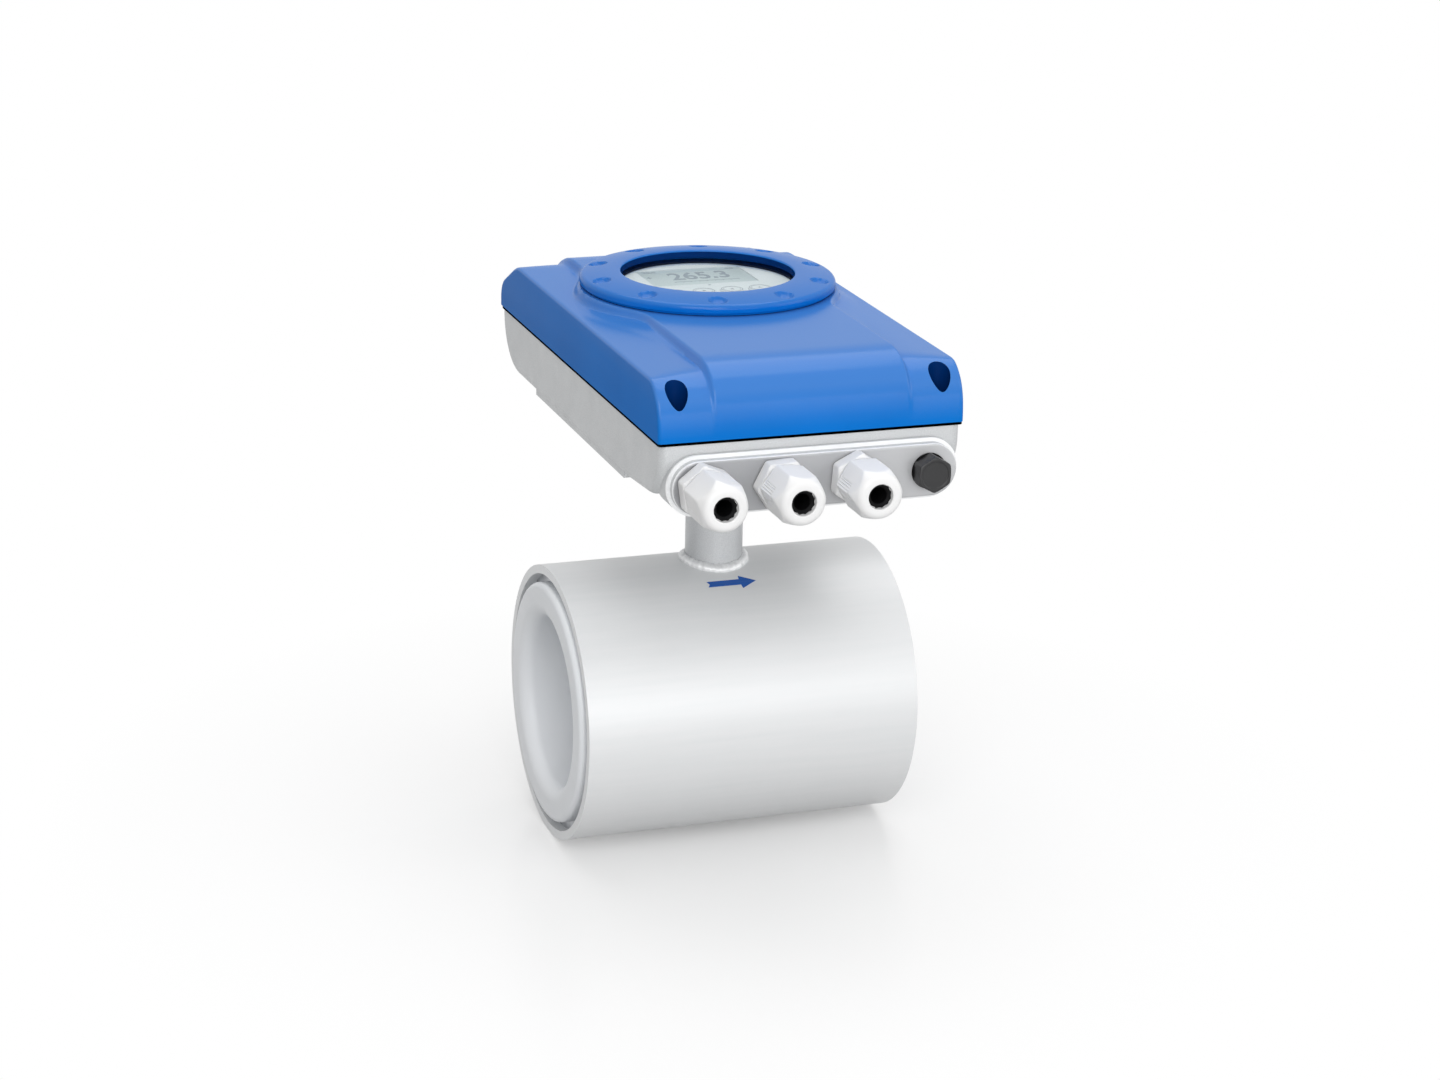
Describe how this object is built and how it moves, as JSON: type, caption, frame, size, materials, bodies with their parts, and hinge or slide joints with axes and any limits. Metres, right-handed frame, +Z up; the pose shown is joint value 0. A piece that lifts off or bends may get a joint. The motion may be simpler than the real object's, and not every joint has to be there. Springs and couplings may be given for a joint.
{
  "type": "electromagnetic flow meter",
  "caption": "Wafer flow meter: lined measuring tube in a steel housing, short neck, and a compact converter with a display under a screwed window and cable entries.",
  "frame": {"origin": "centre of the flow bore, halfway between the sealing faces", "axes": "+X along the pipe in the flow direction, +Z up to the converter, cable entries towards -Y"},
  "size_m": [0.2, 0.3461, 0.3216],
  "materials": {
    "housing_steel": "satin silver-grey paint",
    "ring_steel": "bare steel",
    "liner": "smooth white, slightly translucent",
    "tube_steel": "drawn stainless steel",
    "electrode_steel": "polished stainless steel",
    "bush_plastic": "natural",
    "core_iron": "oiled",
    "coil_copper": "varnished copper wire",
    "base_paint": "light-grey satin powder coat on a die casting",
    "cover_paint": "glossy blue powder coat on a die casting",
    "gasket_rubber": "matt",
    "window_glass": "clear",
    "panel_plastic": "satin",
    "lcd": "grey-green liquid crystal display",
    "key_plastic": "satin",
    "board": "solder resist",
    "zinc_steel": "zinc plated",
    "terminal_plastic": "moulded",
    "transformer_iron": "laminated",
    "bobbin_plastic": "taped winding",
    "capacitor_skin": "sleeved",
    "gland_plastic": "white moulded",
    "seal_rubber": "matt",
    "plug_plastic": "black moulded"
  },
  "bodies": {
    "meter": {"sensor_housing": "housing_steel", "inlet_end_ring": "ring_steel", "outlet_end_ring": "ring_steel", "tube_liner": "liner", "measuring_tube": "tube_steel", "electrodes": "electrode_steel", "electrode_bushes": "bush_plastic", "electrode_nuts": "electrode_steel", "magnet_yoke": "core_iron", "pole_cores": "core_iron", "field_coils": "coil_copper", "neck_tube": "housing_steel", "neck_flange": "housing_steel", "neck_weld": "housing_steel", "neck_screws": "zinc_steel", "base_housing": "base_paint", "cover_gasket": "gasket_rubber", "cover": "cover_paint", "bezel_seal": "gasket_rubber", "display_panel": "panel_plastic", "lcd_module": "lcd", "display_board": "board", "key_switches": "gasket_rubber", "display_pillars": "zinc_steel", "pillar_nuts": "zinc_steel", "main_board": "board", "board_screws": "zinc_steel", "terminal_blocks": "terminal_plastic", "transformer_core": "transformer_iron", "transformer_coil": "bobbin_plastic", "capacitors": "capacitor_skin", "entry_washers": "gasket_rubber", "gland_bodies": "gland_plastic", "blanking_plug": "plug_plastic", "cover_screws": "zinc_steel"},
    "window": {"window_glass": "window_glass", "glass_gasket": "gasket_rubber", "glass_retainer": "gasket_rubber"},
    "bezel": {"bezel_ring": "cover_paint"},
    "key_1_button": {"key_1": "key_plastic"},
    "key_2_button": {"key_2": "key_plastic"},
    "key_3_button": {"key_3": "key_plastic"},
    "key_4_button": {"key_4": "key_plastic"},
    "gland_1_seal": {"gland_seal_1": "seal_rubber"},
    "gland_1_nut": {"gland_dome_1": "gland_plastic"},
    "gland_2_seal": {"gland_seal_2": "seal_rubber"},
    "gland_2_nut": {"gland_dome_2": "gland_plastic"},
    "gland_3_seal": {"gland_seal_3": "seal_rubber"},
    "gland_3_nut": {"gland_dome_3": "gland_plastic"}
  },
  "joints": [
    {"name": "window_lift", "type": "slide", "parent": "meter", "child": "window", "axis": [0, 0, 1], "range_m": [0, 0.0101]},
    {"name": "bezel_turn", "type": "hinge", "parent": "window", "child": "bezel", "pos_m": [0, 0.0214, 0.24], "axis": [0, 0, 1], "range_deg": [0, 1800]},
    {"name": "key_1_press", "type": "slide", "parent": "meter", "child": "key_1_button", "axis": [0, 0, -1], "range_m": [0, 0.0008], "stiffness_N_per_m": 400, "springref_m": -0.0006},
    {"name": "key_2_press", "type": "slide", "parent": "meter", "child": "key_2_button", "axis": [0, 0, -1], "range_m": [0, 0.0008], "stiffness_N_per_m": 400, "springref_m": -0.0006},
    {"name": "key_3_press", "type": "slide", "parent": "meter", "child": "key_3_button", "axis": [0, 0, -1], "range_m": [0, 0.0008], "stiffness_N_per_m": 400, "springref_m": -0.0006},
    {"name": "key_4_press", "type": "slide", "parent": "meter", "child": "key_4_button", "axis": [0, 0, -1], "range_m": [0, 0.0008], "stiffness_N_per_m": 400, "springref_m": -0.0006},
    {"name": "gland_1_travel", "type": "slide", "parent": "meter", "child": "gland_1_seal", "axis": [0, -1, 0], "range_m": [0, 0.0061]},
    {"name": "gland_1_turn", "type": "hinge", "parent": "gland_1_seal", "child": "gland_1_nut", "pos_m": [-0.063, -0.158, 0.1733], "axis": [0, -1, 0], "range_deg": [0, 1440]},
    {"name": "gland_2_travel", "type": "slide", "parent": "meter", "child": "gland_2_seal", "axis": [0, -1, 0], "range_m": [0, 0.0061]},
    {"name": "gland_2_turn", "type": "hinge", "parent": "gland_2_seal", "child": "gland_2_nut", "pos_m": [-0.021, -0.158, 0.1733], "axis": [0, -1, 0], "range_deg": [0, 1440]},
    {"name": "gland_3_travel", "type": "slide", "parent": "meter", "child": "gland_3_seal", "axis": [0, -1, 0], "range_m": [0, 0.0061]},
    {"name": "gland_3_turn", "type": "hinge", "parent": "gland_3_seal", "child": "gland_3_nut", "pos_m": [0.021, -0.158, 0.1733], "axis": [0, -1, 0], "range_deg": [0, 1440]}
  ],
  "couplings": [
    {"joint": "window_lift", "follows": "bezel_turn", "m_per_rad": 0.00031831},
    {"joint": "gland_1_travel", "follows": "gland_1_turn", "m_per_rad": 0.00023873},
    {"joint": "gland_2_travel", "follows": "gland_2_turn", "m_per_rad": 0.00023873},
    {"joint": "gland_3_travel", "follows": "gland_3_turn", "m_per_rad": 0.00023873}
  ]
}
